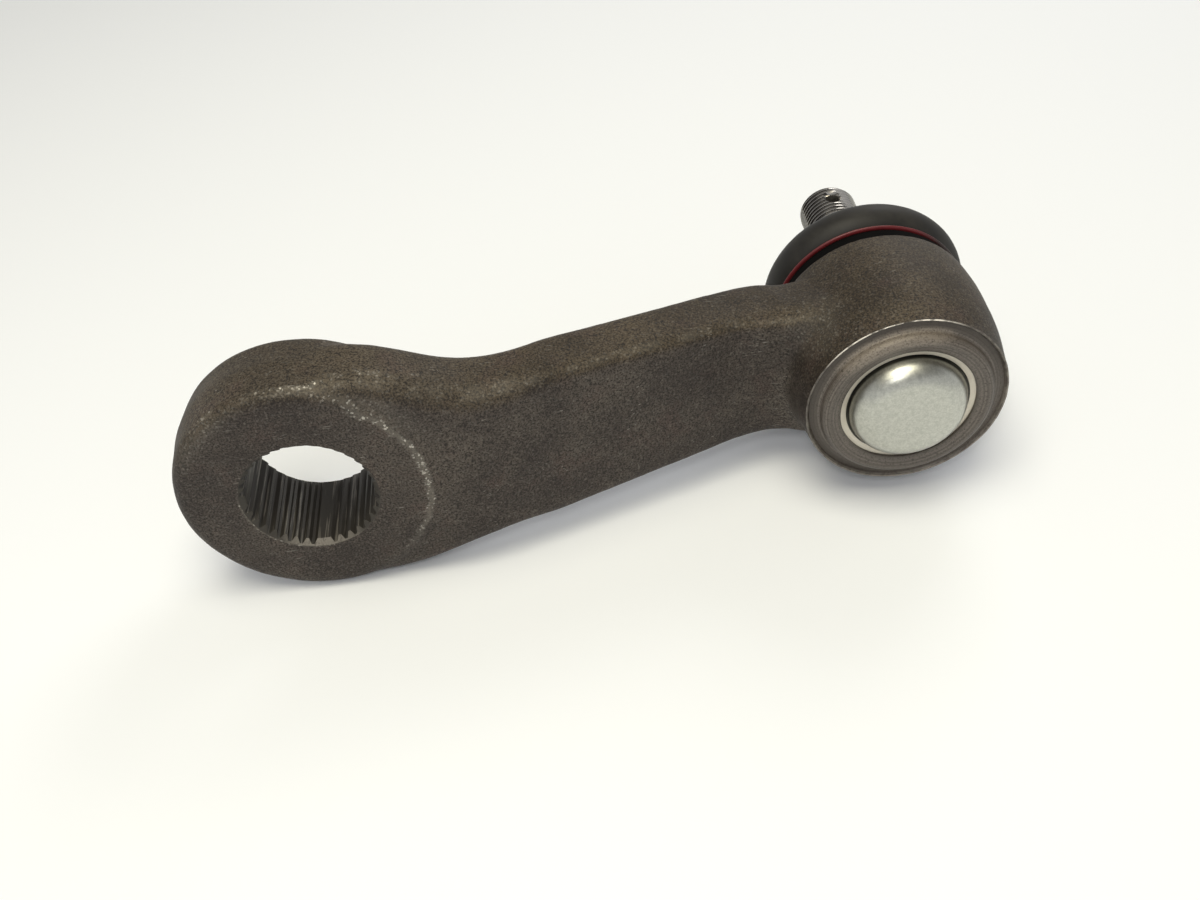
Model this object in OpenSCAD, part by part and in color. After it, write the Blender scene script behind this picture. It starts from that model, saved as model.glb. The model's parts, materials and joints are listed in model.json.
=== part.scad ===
// Pitman arm with a sealed ball joint.
// The origin is the centre of the splined eye. +X runs to the ball joint, +Y runs along the bore
// towards the stud, and +Z is up: the arm stands on its long edge. Millimetres.

/* [Arm] */
// Distance from the bore axis to the stud axis
centre_distance = 142; // [130:1:170]
// Distance from the eye's middle plane to the ball's centre, along the bore
ball_offset = 16; // [12:0.5:20]
// Wall of the eye outside the spline's grooves
eye_wall = 15.8; // [13:0.1:19]
// Thickness of the eye over its two faces
eye_t = 22; // [18:0.5:26]
// How far the eye's sides draft in from the parting line
eye_draft = 0.6; // [0.2:0.1:1]
// Radius between the eye's faces and its sides
eye_edge_r = 3.6; // [2:0.1:5]
// How far the eye's front face stands proud of the web
face_step = 1; // [0.6:0.1:2]
// How far the web's back lies below the eye's back face, beside the eye
ear_step = 2.6; // [2:0.1:3.4]
// How far the web's back lies below the eye's back face, at the neck
neck_step = 4.4; // [3.6:0.1:5]
// Width of the web at the neck
web_w_eye = 44.5; // [40:0.5:48]
// Width of the web where it meets the ball housing
web_w_ball = 36; // [32:0.5:40]
// Thickness of the web where it meets the ball housing
web_t = 14; // [12:0.5:16]
// How far the web's back lies below the housing's end
back_drop = 2.9; // [1:0.1:4]
// Radius along the web's long edges
edge_r = 4.5; // [3:0.5:6]
// Radius of the hollow where the web runs into the housing
root_r = 13; // [8:0.5:15]

/* [Spline] */
// Tooth positions round the bore
spline_n = 36; // [32:4:40]
// Wide master teeth, each one groove left out
master_n = 4; // [2:2:4]
// Diameter at the bottom of the grooves
spline_d = 31.75; // [31:0.05:33]
// Height of the teeth
tooth_h = 1; // [0.8:0.05:1.2]
// Share of the tooth pitch that a groove takes at its mouth
groove_share = 0.76; // [0.66:0.01:0.82]
// Width of the flat at the bottom of a groove
groove_flat = 0.7; // [0.4:0.05:1]
// How far the chamfer at each end of the bore opens past the grooves
mouth_over = 0.25; // [0.15:0.05:1]

/* [Ball stud] */
// Ball diameter
ball_d = 30; // [28:0.1:32]
// Diameter of the neck beside the ball
neck_d = 16.4; // [15:0.1:16.6]
// Diameter of the land under the boot's lip, and of the taper's large end
land_d = 19; // [18.4:0.1:20]
// Length of the flare from the neck to the land
land_flare = 4; // [3:0.1:5]
// Length of land below the boot's lip
land_lead = 2.3; // [1:0.1:3]
// Length over which the taper's diameter falls by one
taper_ratio = 8; // [8:0.5:12]
// Length of the taper
taper_l = 16; // [14:0.5:18]
// Outside diameter of the thread
thread_d = 16; // [14:0.5:16]
// Length of the threaded end with its relief groove
thread_l = 18; // [16:0.5:22]
// Length of the relief groove between taper and thread
relief_l = 2; // [1.6:0.1:3]
// Depth of the relief groove below the thread
relief_depth = 1.1; // [0.6:0.1:1.4]
// Run of the relief groove's slanted walls
relief_run = 0.5; // [0.3:0.1:0.7]
// Chamfer on the end of the thread
thread_chamfer = 1.6; // [1:0.1:2]
// Cotter hole diameter
cotter_d = 4; // [3:0.1:4.5]
// Cotter hole to the end of the stud
cotter_to_end = 6.4; // [5:0.1:8]

/* [Bearing] */
// Wall of the upper seat round the ball's middle
seat_wall = 2.1; // [1.8:0.1:2.6]
// Thickness of the pressure seat's rim under the ball
seat_floor = 0.7; // [0.5:0.1:1.5]
// Chamfer on the pressure seat's lower edge
seat_chamfer = 0.8; // [0.4:0.1:1.2]
// Space between the pressure seat's boss and the inside of the dome
boss_space = 1.5; // [1:0.1:2]
// Ball's centre to the start of the housing's cone
cone_start = 2; // [1:0.1:3]
// How far the throat reaches in past the ball's radius
throat_hold = 1.8; // [1.6:0.1:2]
// Length of the throat
throat_l = 2; // [1.6:0.1:2]
// How far the mouth flares out past the throat
mouth_flare = 3.3; // [3.2:0.1:4]
// Length of the flared mouth
mouth_l = 7.5; // [7:0.1:8]
// Thickness of the disc spring
spring_t = 1.2; // [0.8:0.1:1.4]
// Height of the disc spring
spring_h = 2.4; // [2:0.1:2.6]
// Width of the disc spring's flat inner rim
spring_rim = 1; // [0.5:0.1:1.5]

/* [Cap] */
// Thickness of the cap's pressed plate
cap_t = 2; // [1.6:0.1:2.2]
// Width of the ledge that the cap's flange seats on
cap_ledge = 0.8; // [0.6:0.1:1.4]
// Width of flange between the rolled lip and the dome
flange_w = 1.5; // [1.2:0.1:2]
// Height of the dome over the flange
dome_h = 5.6; // [4.8:0.1:6]
// Radius of the dome's shoulder
dome_r = 5.4; // [4.4:0.1:5.6]

/* [Housing] */
// Wall of the rolled collar outside the cap
collar_wall = 2.75; // [2.4:0.05:3.5]
// Height of the rolled collar over the shoulder
collar_h = 2.7; // [2.5:0.1:3.2]
// Radius of the roll on the collar's outer edge
collar_roll_r = 1.8; // [1:0.1:2.2]
// Width of cap that the rolled lip covers
lip_cover = 1.7; // [1.2:0.1:2]
// Thickness of the rolled lip
lip_t = 0.8; // [0.6:0.1:1.1]
// Height of the lip's inner edge over the shoulder
lip_h = 1.8; // [1.5:0.1:2.2]
// Width of the machined shoulder round the collar
shoulder_w = 3.5; // [2.5:0.1:5]
// Height of the turned burr on the shoulder's outer edge
burr_h = 0.35; // [0.1:0.05:0.6]
// How much wider the housing's radius is at the boot than at the shoulder
housing_flare = 1; // [0.4:0.1:2]
// How far the forged housing swells between its two ends
housing_swell = 1.6; // [0.5:0.1:2.5]
// Radius on the housing's end under the boot
housing_edge_r = 1; // [0.5:0.1:2.5]
// Wall of the spigot that the boot grips
spigot_wall = 4; // [3:0.1:5]
// Height of the spigot
spigot_h = 3.6; // [3:0.1:4.5]

/* [Boot] */
// Height of the boot over the housing's end, to its lip
boot_h = 18.4; // [17.5:0.1:20.5]
// Wall of the boot's base collar
boot_collar_wall = 3.65; // [3:0.05:4.5]
// Height of the boot's base collar
boot_collar_h = 3.4; // [3:0.1:3.8]
// How far the boot's bulge stands out past its collar
boot_swell = 2.1; // [1.4:0.1:3.5]
// Height of the bulge over the red ring
boot_bulge_h = 11.2; // [10:0.1:12]
// Wall of the bulge
boot_wall = 1.8; // [1.4:0.1:2.2]
// Wall of the lip round the stud
boot_lip_wall = 2.4; // [2:0.1:3]
// Height of the lip
boot_lip_h = 5; // [4:0.1:5.5]
// Size of the hollow where the lip rises from the boot
boot_lip_root = 1.6; // [1:0.1:2]
// Chamfer on the lip's end
boot_lip_edge = 0.4; // [0.2:0.1:0.8]
// Thickness of the red base ring
base_ring_t = 1.3; // [1:0.1:1.6]
// Wire of the ring round the boot's lip
top_ring_wire = 1.6; // [1.2:0.1:2]

/* [Fits] */
// Gap between the ball and its seats
ball_gap = 0.08; // [0.04:0.01:0.1]
// Gap round the pressure seat, which turns in the chamber
seat_gap = 0.1; // [0.05:0.01:0.15]
// Gap round pieces that are pressed or rolled in
seated_gap = 0.05; // [0.02:0.01:0.08]
// Gap between the pressure seat and the cap's plate
plate_gap = 0.3; // [0.2:0.05:0.6]
// Gap between the stud and the boot's lip
lip_gap = 0.3; // [0.2:0.05:0.4]
// Gap between the boot's skirt and the spigot's end
skirt_gap = 0.5; // [0.3:0.1:0.8]

/* [Hidden] */
round_fn = 96;
wire_fn = 32;
cut = 1;

// Radii, from the ball outwards
ball_r = ball_d / 2;
socket_r = ball_r + ball_gap;
chamber_r = socket_r + seat_wall + seated_gap;
throat_r = ball_r - throat_hold;
mouth_r = throat_r + mouth_flare;
flange_r = chamber_r + cap_ledge;
lip_r = flange_r - lip_cover;
dome_out_r = lip_r - flange_w;
dome_in_r = dome_out_r - cap_t;
dome_out_round = min(dome_r, dome_h);
dome_in_round = max(dome_out_round - cap_t, cap_t / 4);
collar_r = flange_r + seated_gap + collar_wall;
housing_r = collar_r + shoulder_w;
housing_end_r = housing_r + housing_flare;
spigot_r = mouth_r + spigot_wall;
boot_in_r = spigot_r + seated_gap;
boot_collar_r = boot_in_r + boot_collar_wall;
land_r = land_d / 2;
boot_lip_in_r = land_r + lip_gap;
boot_lip_out_r = boot_lip_in_r + boot_lip_wall;

// Levels along +Y, from the ball's centre to the cap
ball_y = ball_offset;
seat_low_y = ball_y - socket_r - seat_floor;
plate_y = seat_low_y - plate_gap;
flange_y = plate_y - cap_t;
dome_y = flange_y - dome_h;
dome_in_y = dome_y + cap_t;
lip_y = flange_y - lip_t;
shoulder_y = lip_y + lip_h;
collar_y = shoulder_y - collar_h;

// Levels along +Y, from the ball's centre to the stud's end
cone_y0 = ball_y + cone_start;
cone_y1 = ball_y + sqrt(pow(socket_r + seat_wall, 2) - throat_r * throat_r);
throat_y = cone_y1 + throat_l;
spigot_y = throat_y + mouth_l;
housing_y = spigot_y - spigot_h;
base_ring_y = housing_y + boot_collar_h + base_ring_t / 2;
boot_top_y = housing_y + boot_h;
boot_lip_y = boot_top_y - boot_lip_h;
top_ring_y = boot_top_y - boot_lip_h / 2;
land_y = boot_lip_y - land_lead;
taper_y = boot_top_y + lip_gap;
thread_y = taper_y + taper_l;
stud_end_y = thread_y + thread_l;

// Grooves for the boot's two rings
base_groove_r = boot_collar_r - base_ring_t / 2;
top_groove_r = top_ring_wire / 2 + seated_gap;
top_ring_r = boot_lip_out_r + top_groove_r / 2;

// Angles from the stud axis between which each seat bears on the ball
upper_seat_from = 54;
upper_seat_to = 94;
lower_seat_from = 102;
lower_seat_to = 170;

// Eye and web: where along +X the web's sides and faces change course
eye_r = spline_d / 2 + eye_wall;
eye_face_r = eye_r - eye_draft - eye_edge_r;
neck_run = 22;
front_run = 7;
back_low_run = 8;
back_run = 8;
level_run = 8;
web_x0 = 2;
ear_x = eye_r / 4;
neck_x = eye_r + neck_run;
front_bend_x = eye_r + front_run;
back_low_x = eye_r + back_low_run;
back_bend_x = eye_r + back_run;
root_x = centre_distance - housing_r;
level_x = root_x - level_run;
web_x1 = root_x + 0.6 * housing_r;
front_soft = 10;
back_soft = 16;
level_soft = 8;
root_soft = 2;

// How far the collar's roll turns inwards, and how far the boot's lip wraps its wire ring
roll_angle = 110;
wrap_angle = 60;

// Web: the shape of its sections and of the hollow at the housing
eye_share = 0.975;
side_crown = 0.5;
face_crown = 0.2;
root_run = 0.85 * root_r;
root_flare = 0.9;
bow_run = 1.2 * root_r;
bow_share = 0.9;
web_steps = 16;
root_steps = 8;

// Web: the levels of its front and back faces, and their slopes
front_y0 = face_step - eye_t / 2;
back_y0 = eye_t / 2 - neck_step;
back_y1 = housing_y - back_drop;
front_y1 = back_y1 - web_t;
front_slope = (front_y1 - front_y0) / (root_x - front_bend_x);
back_slope = (back_y1 - back_y0) / (level_x - back_bend_x);

// Points along an arc, from angle a0 to a1
function arc(c, r, a0, a1, n = 6) =
    [for (i = [0:n]) c + r * [cos(a0 + (a1 - a0) * i / n), sin(a0 + (a1 - a0) * i / n)]];

// Points down the inside of a ball seat, between two angles from the stud axis
function socket(a0, a1, n = 16) =
    let (r = socket_r / cos((a1 - a0) / n / 2))
    [for (i = [0:n]) let (a = a0 + (a1 - a0) * i / n) [r * sin(a), ball_y + r * cos(a)]];

// 0 before x0 - soft, x - x0 after x0 + soft, with a parabola between
function ramp(x, x0, soft) =
    x < x0 - soft ? 0 : x > x0 + soft ? x - x0 : pow(x - x0 + soft, 2) / (4 * soft);

// Half a cosine wave that falls from 1 at x0 to 0 at x1
function fade(x, x0, x1) = 0.5 + 0.5 * cos(180 * max(0, min(1, (x - x0) / (x1 - x0))));

// Hollow root: 0 before the root, then a circular arc
function root(x) =
    let (d = max(0, min(root_run, x - root_x + root_run)))
    root_r - sqrt(root_r * root_r - d * d);

// Half the web's width, which runs in from the eye, tapers and flares out at the root
function web_half(x) =
    let (taper = (web_w_ball - web_w_eye) * max(0, x - neck_x) / (root_x - neck_x),
         body = (web_w_eye + taper) / 2,
         ear = (eye_r * eye_share - web_w_eye / 2) * fade(x, ear_x, neck_x))
    body + ear + root_flare * root(x);

// Level of the web's front face
function web_front(x) =
    front_y0 + front_slope * (ramp(x, front_bend_x, front_soft) - ramp(x, root_x, root_soft)) - root(x);

// Level of the web's back face
function web_back(x) =
    back_y0 + (neck_step - ear_step) * fade(x, ear_x, back_low_x)
    + back_slope * (ramp(x, back_bend_x, back_soft) - ramp(x, level_x, level_soft));

// How far a section bows back round the housing as it comes up to it
function bow(x, z) =
    (1 - fade(x, root_x - bow_run, root_x)) * fade(x, root_x, web_x1)
    * (housing_r - sqrt(max(0, housing_r * housing_r - z * z))) * bow_share;

// One section as [y, z] points, anticlockwise seen from +X
function section(w, front, back, r) =
    let (mid = (front + back) / 2)
    concat(arc([front + r, w - r], r, 180, 90, 4),
           [[mid, w + side_crown]],
           arc([back - r, w - r], r, 90, 0, 4),
           [for (k = [0.5, 0, -0.5]) [back + face_crown * (1 - k * k), k * (w - r)]],
           arc([back - r, r - w], r, 0, -90, 4),
           [[mid, -w - side_crown]],
           arc([front + r, r - w], r, -90, -180, 4),
           [for (k = [-0.5, 0, 0.5]) [front - face_crown * (1 - k * k), k * (w - r)]]);

web_stations = concat(
    [for (i = [0:web_steps - 1]) web_x0 + (root_x - root_run - web_x0) * i / web_steps],
    [for (i = [0:root_steps]) root_x - root_run + (root_run + root_soft) * i / root_steps],
    [web_x1]);

// Turns a shape's axis from +Z to +Y
module along_y() {
    rotate([-90, 0, 0])
        children();
}

// A solid of revolution about the stud axis, from [radius, y] points
module revolve(points) {
    translate([centre_distance, 0, 0])
        along_y()
            rotate_extrude($fn = round_fn)
                polygon(points);
}

// A ring of round wire about the stud axis
module wire_ring(r, y, wire) {
    translate([centre_distance, y, 0])
        along_y()
            rotate_extrude($fn = round_fn)
                translate([r, 0])
                    circle(d = wire, $fn = wire_fn);
}

// Web: a loft of rounded sections from inside the eye to inside the housing
module web() {
    rings = [for (x = web_stations) section(web_half(x), web_front(x), web_back(x), edge_r)];
    m = len(rings[0]);
    n = len(rings);
    points = [for (i = [0:n - 1]) for (p = rings[i])
        [web_stations[i] + bow(web_stations[i], p[1]), p[0], p[1]]];
    sides = [for (i = [0:n - 2]) for (j = [0:m - 1])
        let (a = i * m + j, b = i * m + (j + 1) % m)
        each [[a, b, b + m], [a, b + m, a + m]]];
    start = [for (j = [m - 1:-1:0]) j];
    end = [for (j = [0:m - 1]) (n - 1) * m + j];
    polyhedron(points = points, faces = concat([start], sides, [end]), convexity = 4);
}

// Eye: a forged disc with drafted sides and rounded edges
module eye() {
    h = eye_t / 2;
    along_y()
        rotate_extrude($fn = round_fn)
            polygon(concat([[0, -h]],
                           arc([eye_face_r, eye_edge_r - h], eye_edge_r, -90, 0),
                           [[eye_r, 0]],
                           arc([eye_face_r, h - eye_edge_r], eye_edge_r, 0, 90),
                           [[0, h]]));
}

// Bore: serrations with the master teeth left whole, and a chamfer at each end
module spline_bore() {
    groove_r = spline_d / 2;
    tip_r = groove_r - tooth_h;
    half_angle = groove_share * 180 / spline_n;
    half_w = tip_r * sin(half_angle);
    tip_x = tip_r * cos(half_angle);
    flank_slope = (half_w - groove_flat / 2) / (groove_r - tip_x);
    start_x = tip_x - cut / 2;
    start_w = half_w + flank_slope * cut / 2;
    bore_mouth_r = groove_r + mouth_over;
    along_y() {
        translate([0, 0, -eye_t / 2 - cut])
            linear_extrude(eye_t + 2 * cut) {
                circle(tip_r, $fn = round_fn);
                for (i = [0:spline_n - 1])
                    if (i % (spline_n / master_n) != 0)
                        rotate(i * 360 / spline_n)
                            polygon([[start_x, -start_w], [groove_r, -groove_flat / 2],
                                     [groove_r, groove_flat / 2], [start_x, start_w]]);
            }
        for (side = [0, 1])
            mirror([0, 0, side])
                translate([0, 0, -eye_t / 2 - cut])
                    cylinder(r1 = bore_mouth_r + cut, r2 = tip_r - cut,
                             h = bore_mouth_r - tip_r + 2 * cut, $fn = round_fn);
    }
}

// Housing: lip and collar rolled over the cap, shoulder with its turned burr, and the boot's spigot
module housing_outside() {
    mid_y = (shoulder_y + housing_y) / 2;
    half = (housing_y - shoulder_y) / 2;
    revolve(concat(
        [[0, lip_y], [lip_r, lip_y]],
        arc([collar_r - collar_roll_r, collar_y + collar_roll_r], collar_roll_r, -roll_angle, 0),
        [[collar_r, shoulder_y], [housing_r - 2 * burr_h, shoulder_y],
         [housing_r - burr_h / 2, shoulder_y - burr_h], [housing_r + burr_h / 2, shoulder_y],
         [housing_r, shoulder_y + 2 * burr_h]],
        [for (k = [-0.75:0.25:0.75])
            [housing_r + housing_flare * (1 + k) / 2 + housing_swell * (1 - k * k), mid_y + k * half]],
        arc([housing_end_r - housing_edge_r, housing_y - housing_edge_r], housing_edge_r, 0, 90, 4),
        [[spigot_r, housing_y], [spigot_r, spigot_y], [0, spigot_y]]));
}

// Inside of the housing: cap seat, bearing chamber, cone, throat and flared mouth
module housing_inside() {
    cap_seat_r = flange_r + seated_gap;
    revolve([[0, collar_y - cut], [lip_r, collar_y - cut], [lip_r, flange_y], [cap_seat_r, flange_y],
             [cap_seat_r, plate_y], [chamber_r, plate_y], [chamber_r, cone_y0], [throat_r, cone_y1],
             [throat_r, throat_y], [mouth_r, spigot_y], [mouth_r, spigot_y + cut], [0, spigot_y + cut]]);
}

// Forging: eye, web and ball housing in one piece
module arm_forging() {
    color([0.30, 0.27, 0.23])
        difference() {
            union() {
                eye();
                web();
                housing_outside();
            }
            spline_bore();
            housing_inside();
        }
}

// Stud: ball, neck, land, taper, relief groove and thread with its cotter hole
module ball_stud() {
    neck_r = neck_d / 2;
    neck_y = ball_y + sqrt(ball_r * ball_r - neck_r * neck_r);
    small_r = land_r - taper_l / taper_ratio / 2;
    thread_r = thread_d / 2;
    relief_r = thread_r - relief_depth;
    color([0.72, 0.72, 0.70])
        difference() {
            union() {
                translate([centre_distance, ball_y, 0])
                    sphere(r = ball_r, $fn = round_fn);
                revolve([[0, ball_y], [neck_r - cut, ball_y], [neck_r, neck_y], [neck_r, land_y - land_flare],
                         [land_r, land_y], [land_r, taper_y], [small_r, thread_y],
                         [relief_r, thread_y + relief_run],
                         [relief_r, thread_y + relief_l - relief_run],
                         [thread_r, thread_y + relief_l + relief_run],
                         [thread_r, stud_end_y - thread_chamfer],
                         [thread_r - thread_chamfer, stud_end_y], [0, stud_end_y]]);
            }
            translate([centre_distance, stud_end_y - cotter_to_end, -thread_d])
                cylinder(d = cotter_d, h = 2 * thread_d, $fn = round_fn / 2);
        }
}

// Polymer seat round the upper half of the ball, wedged into the housing's cone
module upper_seat() {
    cone_slope = (chamber_r - throat_r) / (cone_y1 - cone_y0);
    outer_r = chamber_r - seated_gap;
    low_y = ball_y + socket_r * cos(upper_seat_to);
    high_y = ball_y + socket_r * cos(upper_seat_from);
    color([0.88, 0.86, 0.78])
        revolve(concat(
            socket(upper_seat_from, upper_seat_to),
            [[outer_r, low_y], [outer_r, cone_y0 - seated_gap],
             [outer_r - cone_slope * (high_y - cone_y0 + seated_gap), high_y]]));
}

// Polymer seat under the ball, pressed up by the spring on its boss
module pressure_seat() {
    boss_y = dome_in_y + spring_h + seated_gap;
    boss_r = dome_in_r - boss_space;
    outer_r = chamber_r - seat_gap;
    hole_r = socket_r * sin(lower_seat_to);
    color([0.88, 0.86, 0.78])
        revolve(concat(
            socket(lower_seat_from, lower_seat_to),
            [[hole_r, boss_y], [boss_r, boss_y], [boss_r, seat_low_y], [outer_r - seat_chamfer, seat_low_y],
             [outer_r, seat_low_y + seat_chamfer], [outer_r, ball_y + socket_r * cos(lower_seat_from)]]));
}

// Disc spring between the cap and the pressure seat
module preload_spring() {
    out_r = dome_in_r - dome_in_round;
    in_r = out_r / 2;
    top_y = dome_in_y + spring_h;
    color([0.45, 0.46, 0.48])
        revolve([[out_r, dome_in_y], [out_r, dome_in_y + spring_t], [in_r + spring_rim, top_y],
                 [in_r, top_y], [in_r, top_y - spring_t]]);
}

// Pressed plate with a dome, held under the rolled lip
module end_cap() {
    color([0.78, 0.78, 0.74])
        revolve(concat(
            [[0, dome_y]],
            arc([dome_out_r - dome_out_round, dome_y + dome_out_round], dome_out_round, -90, 0, 8),
            [[dome_out_r, flange_y], [flange_r, flange_y], [flange_r, plate_y], [dome_in_r, plate_y]],
            arc([dome_in_r - dome_in_round, dome_in_y + dome_in_round], dome_in_round, 0, -90, 5),
            [[0, dome_in_y]]));
}

// Rubber boot: collar on the spigot, full bulge, shallow crown and a thick lip on the stud
module dust_boot() {
    groove_r = base_groove_r - seated_gap;
    groove_y0 = base_ring_y - base_ring_t / 2 - seated_gap;
    groove_y1 = base_ring_y + base_ring_t / 2 + seated_gap;
    side_r = boot_bulge_h / 2;
    side_x = boot_collar_r + boot_swell - side_r;
    side_c = [side_x, base_ring_y + base_ring_t / 2 + side_r];
    foot_angle = 60;
    root_y = boot_lip_y + boot_lip_root / 2;
    color([0.07, 0.07, 0.07])
        revolve(concat(
            [[boot_in_r, housing_y], [boot_collar_r, housing_y], [boot_collar_r, groove_y0],
             [groove_r, groove_y0], [groove_r, groove_y1], [side_x + side_r * cos(foot_angle), groove_y1]],
            arc(side_c, side_r, -foot_angle, 90, 10),
            [[boot_lip_out_r + boot_lip_root, root_y], [boot_lip_out_r, boot_lip_y + boot_lip_root]],
            arc([top_ring_r, top_ring_y], top_groove_r, 180 + wrap_angle, 180 - wrap_angle, 5),
            [[boot_lip_out_r, boot_top_y - boot_lip_edge], [boot_lip_out_r - boot_lip_edge, boot_top_y],
             [boot_lip_in_r, boot_top_y], [boot_lip_in_r, root_y - boot_wall]],
            arc(side_c, side_r - boot_wall, 90, -foot_angle, 10),
            [[boot_in_r, spigot_y + skirt_gap]]));
}

// Red clamping ring in the groove over the boot's collar
module boot_base_ring() {
    color([0.62, 0.10, 0.09])
        wire_ring(boot_collar_r, base_ring_y, base_ring_t);
}

// Wire ring that closes the boot's lip on the stud
module boot_top_ring() {
    color([0.55, 0.55, 0.55])
        wire_ring(top_ring_r, top_ring_y, top_ring_wire);
}

arm_forging();
ball_stud();
upper_seat();
pressure_seat();
preload_spring();
end_cap();
dust_boot();
boot_base_ring();
boot_top_ring();
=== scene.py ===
# %% [markdown]
# # A forged pitman arm
# A pitman arm turns the steering gear's shaft into a sideways pull on the steering links. One end is an eye
# with a serrated bore that grips the shaft. The other end is a housing with a sealed ball joint, whose stud
# carries the link. This lesson dresses the exact solids of such an arm: a shot-blasted forging with a few
# machined faces, a zinc-plated cap, a rubber boot, a red ring and a bright threaded stud.

# %% Load the solids
import json
import math

import bpy
from mathutils import Matrix, Vector


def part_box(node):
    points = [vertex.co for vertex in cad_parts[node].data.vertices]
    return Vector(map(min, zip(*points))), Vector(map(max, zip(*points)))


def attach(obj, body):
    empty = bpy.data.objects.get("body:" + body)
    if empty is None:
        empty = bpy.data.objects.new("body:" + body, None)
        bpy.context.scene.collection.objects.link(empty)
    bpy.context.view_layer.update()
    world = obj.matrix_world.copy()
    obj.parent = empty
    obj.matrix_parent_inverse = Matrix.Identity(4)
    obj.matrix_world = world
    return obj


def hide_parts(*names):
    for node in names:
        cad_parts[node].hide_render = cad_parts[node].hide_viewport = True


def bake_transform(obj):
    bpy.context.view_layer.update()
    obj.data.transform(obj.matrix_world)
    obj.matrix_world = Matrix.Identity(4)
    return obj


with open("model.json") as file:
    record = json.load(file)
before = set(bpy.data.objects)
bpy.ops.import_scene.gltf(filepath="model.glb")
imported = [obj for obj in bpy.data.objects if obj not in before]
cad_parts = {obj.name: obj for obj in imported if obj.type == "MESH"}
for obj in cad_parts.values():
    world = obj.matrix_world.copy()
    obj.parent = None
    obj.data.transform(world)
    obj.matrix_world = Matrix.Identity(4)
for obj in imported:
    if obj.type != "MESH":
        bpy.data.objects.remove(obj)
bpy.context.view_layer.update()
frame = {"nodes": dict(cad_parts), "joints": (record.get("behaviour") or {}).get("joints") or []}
MM = 0.001
ball = Vector(frame["joints"][0]["pos_m"]) / MM
eye_r = -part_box("arm_forging")[0].x / MM
eye_half = -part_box("arm_forging")[0].y / MM
print("stud axis at x", round(ball.x, 1), "mm, eye radius", round(eye_r, 2), "mm")

# %% [markdown]
# ## Camera, floor and light
# The camera comes first, because every later choice is judged through it. Its place was worked out from the
# photograph's ellipses: the eye's face, the bore and the housing's shoulder are true circles, so their shapes
# give the viewing angle, and the bore's known size gives the distance. The focal length is in the photograph's
# pixels, and Blender wants it in millimetres on a 36 mm sensor.

# %% Camera
photo_width = 1200
focal_px = 1255
sensor_width = 36
camera_at = Vector((62.64, -222.76, 199.39)) * MM
view_line = Vector((0.0178, 0.7358, -0.677)).normalized()
picture_up = Vector((0.1124, 0.6714, 0.7326))
picture_right = view_line.cross(picture_up).normalized()
picture_up = picture_right.cross(view_line)

bpy.ops.object.select_all(action="DESELECT")
bpy.ops.object.camera_add()
camera = bpy.context.object
turn_to_photo = Matrix((picture_right, picture_up, -view_line)).transposed()
camera.matrix_world = Matrix.Translation(camera_at) @ turn_to_photo.to_4x4()
camera.data.sensor_width = sensor_width
camera.data.lens = focal_px / photo_width * sensor_width
camera.data.clip_start = 0.01
bpy.context.scene.camera = camera
print("lens", round(camera.data.lens, 2), "mm")

# %% [markdown]
# The photograph is a plain packshot: a pale ground, a broad warm light from above and a weaker, cooler one from
# the camera's side. Area lights give soft edges to the highlights on the cap and the thread.

# %% Floor and lights
def soft_light(name, at, aim, size, power, colour):
    """A square area light at one point, aimed at another, in metres."""
    bpy.ops.object.light_add(type="AREA", location=at)
    lamp = bpy.context.object
    lamp.name = name
    lamp.rotation_euler = (Vector(aim) - Vector(at)).to_track_quat("-Z", "Y").to_euler()
    lamp.data.size = size
    lamp.data.energy = power
    lamp.data.color = colour
    return lamp


middle = (0.07, 0.02, 0.0)
soft_light("overhead", (0.0, -0.16, 0.75), middle, 0.5, 4.4, (1.0, 0.94, 0.76))
soft_light("by_camera", (-0.02, -0.42, 0.46), middle, 0.10, 0.75, (1.0, 0.98, 0.94))
soft_light("back_rim", (0.45, 0.6, 0.5), middle, 0.4, 1.6, (1.0, 0.98, 0.95))

bpy.ops.mesh.primitive_plane_add(size=6, location=(0, 0, -eye_r * MM))
floor = bpy.context.object
floor.name = "floor"
floor_paint = bpy.data.materials.new("pale_floor")
floor_paint.use_nodes = True
floor_shader = floor_paint.node_tree.nodes["Principled BSDF"]
floor_shader.inputs["Base Color"].default_value = (0.93, 0.96, 1.0, 1)
floor_shader.inputs["Roughness"].default_value = 0.9
floor.data.materials.append(floor_paint)
print("floor at z", round(floor.location.z / MM, 1), "mm")

# %% [markdown]
# The room is a sky that is bright near the horizon and dim overhead, so steep metal faces mirror something pale
# and flat ones stay calm. Map Range turns the direction's height into that brightness.

# %% Room
world = bpy.data.worlds.new("studio")
world.use_nodes = True
sky = world.node_tree
direction = sky.nodes.new("ShaderNodeTexCoord").outputs["Generated"]
height = sky.nodes.new("ShaderNodeSeparateXYZ")
shade = sky.nodes.new("ShaderNodeMapRange")
sky.links.new(direction, height.inputs[0])
sky.links.new(height.outputs["Z"], shade.inputs["Value"])
for socket, value in (("From Min", 0.12), ("From Max", 0.7), ("To Min", 0.8), ("To Max", 0.16)):
    shade.inputs[socket].default_value = value
sky.links.new(shade.outputs["Result"], sky.nodes["Background"].inputs["Color"])
bpy.context.scene.world = world
bpy.context.scene.view_settings.view_transform = "Standard"

# %% [markdown]
# ## Finishes
# Every finish is a node tree that reads Object coordinates, so it stays fixed to the metal when the arm is
# turned. Small helpers add a node to the tree that their inputs come from and wire it, so a finish reads from
# top to bottom like a recipe.

# %% Node helpers
def wire(node, inputs):
    """Link or set a node's inputs, which are given by name or by number."""
    for key, value in inputs.items():
        if isinstance(value, bpy.types.NodeSocket):
            node.id_data.links.new(value, node.inputs[key])
        else:
            node.inputs[key].default_value = value


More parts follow.
